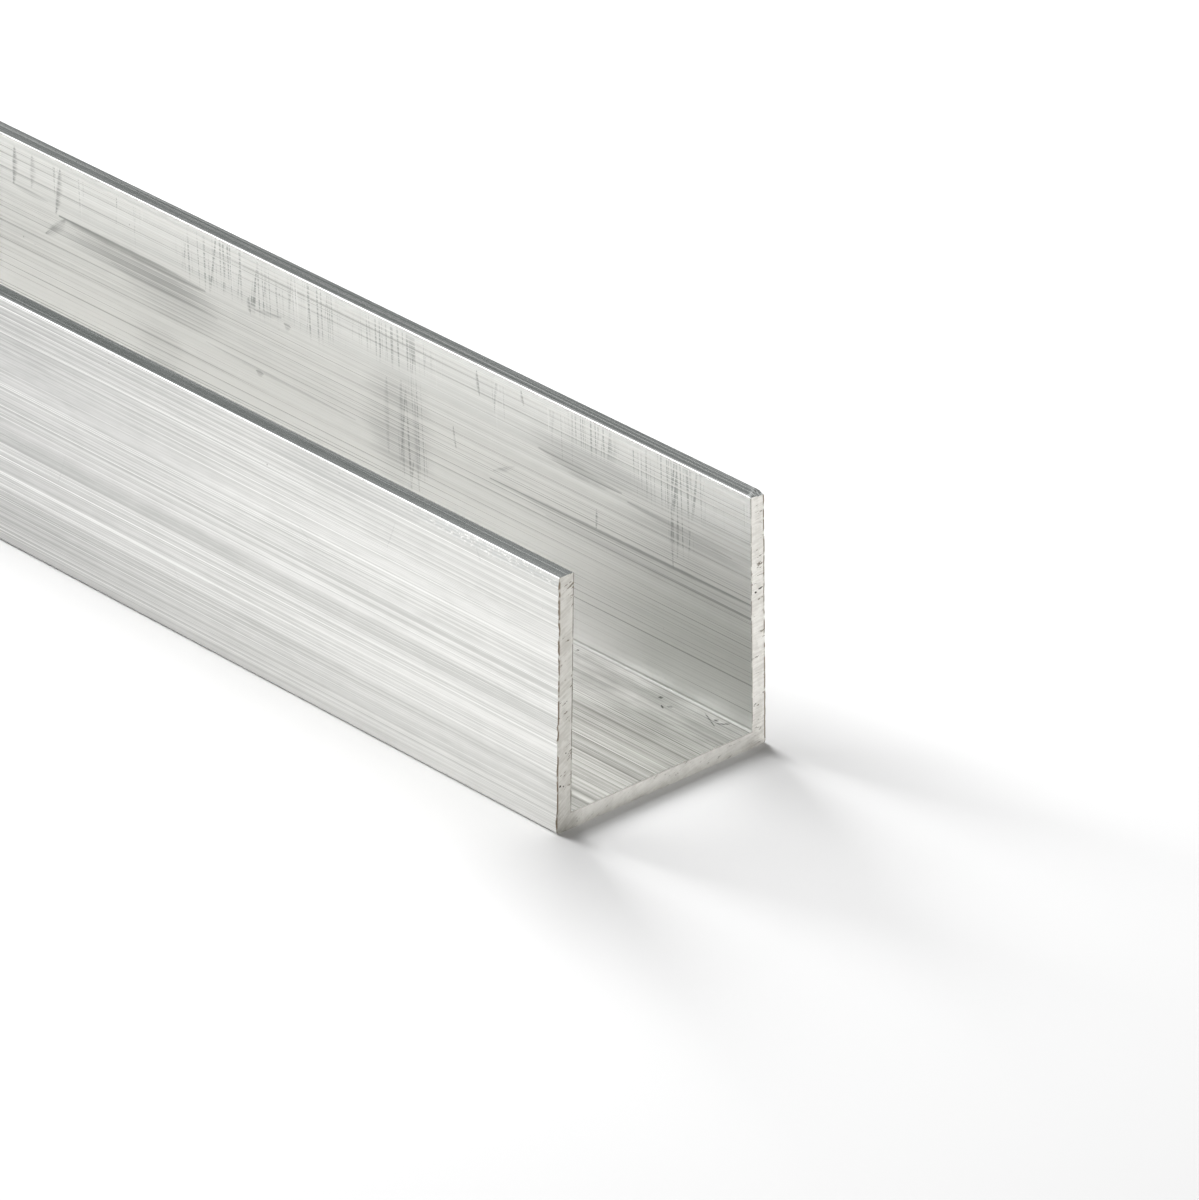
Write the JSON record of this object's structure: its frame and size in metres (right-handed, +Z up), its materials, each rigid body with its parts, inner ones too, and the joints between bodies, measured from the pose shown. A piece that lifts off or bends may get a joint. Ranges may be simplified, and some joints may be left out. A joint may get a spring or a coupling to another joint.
{
  "type": "metal channel section",
  "caption": "Straight bar of square aluminium U channel with even walls, open at the top and sawn square at both ends.",
  "frame": {"origin": "on the underside of the web, halfway along the bar and halfway across it", "axes": "+X along the bar, +Y across it from leg to leg, +Z up from the web to the open lips"},
  "size_m": [1, 0.03, 0.03],
  "materials": {
    "mill_aluminium": "mill finish: drawn lines along the bar, light rub marks across it, sawn ends"
  },
  "bodies": {
    "root": {"channel": "mill_aluminium"}
  },
  "joints": []
}
